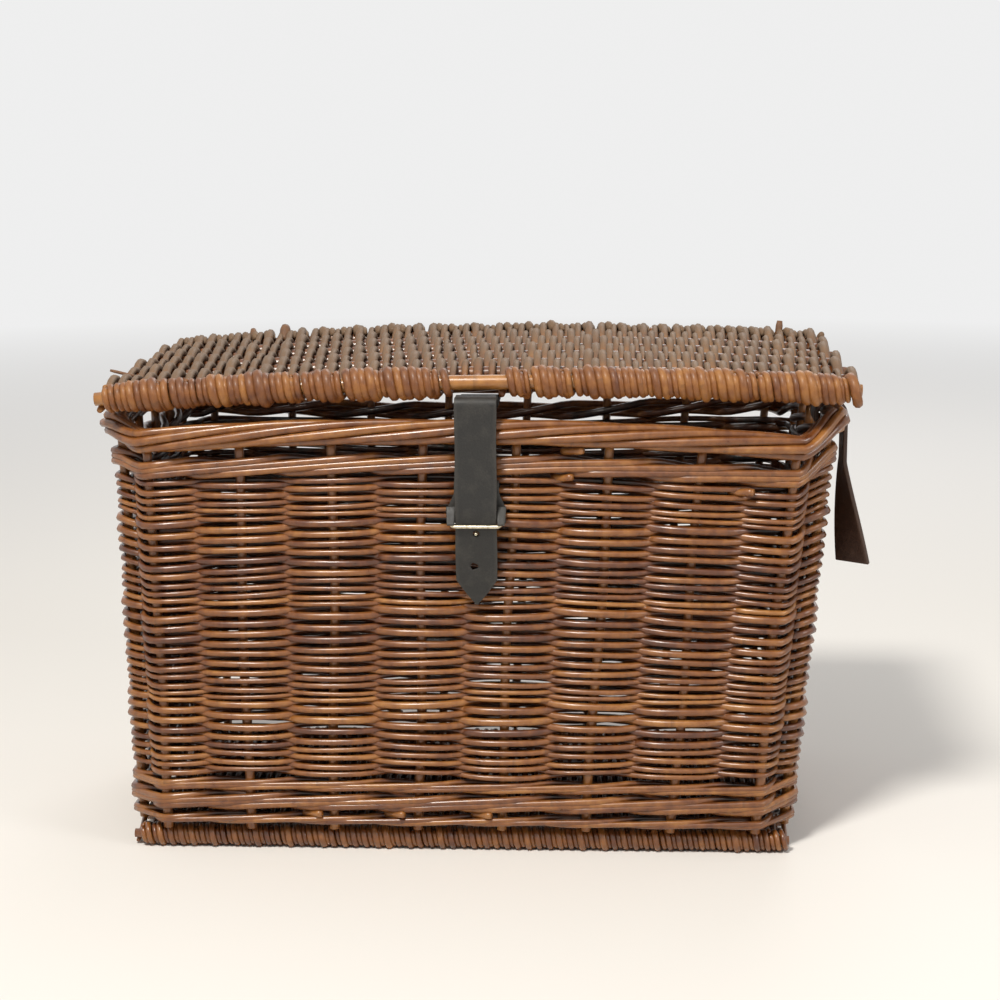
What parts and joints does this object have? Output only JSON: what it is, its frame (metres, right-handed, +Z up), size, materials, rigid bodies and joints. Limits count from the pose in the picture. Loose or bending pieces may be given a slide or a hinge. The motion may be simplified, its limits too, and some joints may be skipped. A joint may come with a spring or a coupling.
{
  "type": "wicker creel",
  "caption": "Woven willow creel with a flat stick-and-weave lid on cane hinge loops, a low front rim, a buckled leather closing strap and a leather strap end at one side",
  "frame": {"origin": "middle of the base, on the plane that it stands on", "axes": "+X to the right along the long side, +Y to the back where the lid is hinged, +Z up"},
  "size_m": [0.4258, 0.2321, 0.2664],
  "materials": {
    "base_front_stick": "varnished",
    "base_back_stick": "varnished",
    "base_inner_sticks": "varnished",
    "base_weave": "varnished",
    "front_stakes": "varnished",
    "right_stakes": "varnished",
    "back_stakes": "varnished",
    "left_stakes": "varnished",
    "front_siding": "varnished",
    "right_siding": "varnished",
    "back_siding": "varnished",
    "left_siding": "varnished",
    "corner_siding": "varnished",
    "foot_wale": "varnished",
    "lower_wale_outer": "varnished",
    "lower_wale_inner": "varnished",
    "upper_wale_outer": "varnished",
    "upper_wale_inner": "varnished",
    "top_border": "varnished",
    "hinge_loop_left": "varnished",
    "hinge_loop_right": "varnished",
    "buckle_tab": "worn black",
    "lid_front_stick": "varnished",
    "lid_back_stick": "varnished",
    "lid_inner_sticks": "dusty, worn",
    "lid_weave": "dusty, worn",
    "strap_anchor": "worn black",
    "anchor_tacks": "dull",
    "closure_strap": "worn black",
    "buckle_frame": "pale, worn",
    "buckle_prong": "pale, worn",
    "carry_tab": "dark brown"
  },
  "bodies": {
    "basket": {"base_front_stick": "base_front_stick", "base_back_stick": "base_back_stick", "base_inner_sticks": "base_inner_sticks", "base_weave": "base_weave", "front_stakes": "front_stakes", "right_stakes": "right_stakes", "back_stakes": "back_stakes", "left_stakes": "left_stakes", "front_siding": "front_siding", "right_siding": "right_siding", "back_siding": "back_siding", "left_siding": "left_siding", "corner_siding": "corner_siding", "foot_wale": "foot_wale", "lower_wale_outer": "lower_wale_outer", "lower_wale_inner": "lower_wale_inner", "upper_wale_outer": "upper_wale_outer", "upper_wale_inner": "upper_wale_inner", "top_border": "top_border", "hinge_loop_left": "hinge_loop_left", "hinge_loop_right": "hinge_loop_right", "buckle_tab": "buckle_tab"},
    "lid": {"lid_front_stick": "lid_front_stick", "lid_back_stick": "lid_back_stick", "lid_inner_sticks": "lid_inner_sticks", "lid_weave": "lid_weave", "strap_anchor": "strap_anchor", "anchor_tacks": "anchor_tacks"},
    "strap": {"closure_strap": "closure_strap"},
    "frame": {"buckle_frame": "buckle_frame"},
    "prong": {"buckle_prong": "buckle_prong"},
    "carry_strap": {"carry_tab": "carry_tab"}
  },
  "joints": [
    {"name": "lid_hinge", "type": "hinge", "parent": "basket", "child": "lid", "pos_m": [0, 0.10464, 0.25836], "axis": [-1, 0, 0], "range_deg": [0, 170], "deforming": ["closure_strap"]},
    {"name": "strap_swing", "type": "hinge", "parent": "lid", "child": "strap", "pos_m": [0.001, -0.10899, 0.25276], "axis": [-1, 0, 0], "range_deg": [0, 120], "deforming": ["closure_strap"]},
    {"name": "buckle_hinge", "type": "hinge", "parent": "basket", "child": "frame", "pos_m": [0.001, -0.11005, 0.1965], "axis": [-1, 0, 0], "range_deg": [0, 75]},
    {"name": "prong_hinge", "type": "hinge", "parent": "frame", "child": "prong", "pos_m": [0.001, -0.11005, 0.1965], "axis": [-1, 0, 0], "range_deg": [-4, 12]},
    {"name": "carry_swing", "type": "hinge", "parent": "basket", "child": "carry_strap", "pos_m": [0.19625, -0.05964, 0.24306], "axis": [0, -1, 0], "range_deg": [0, 90]}
  ]
}
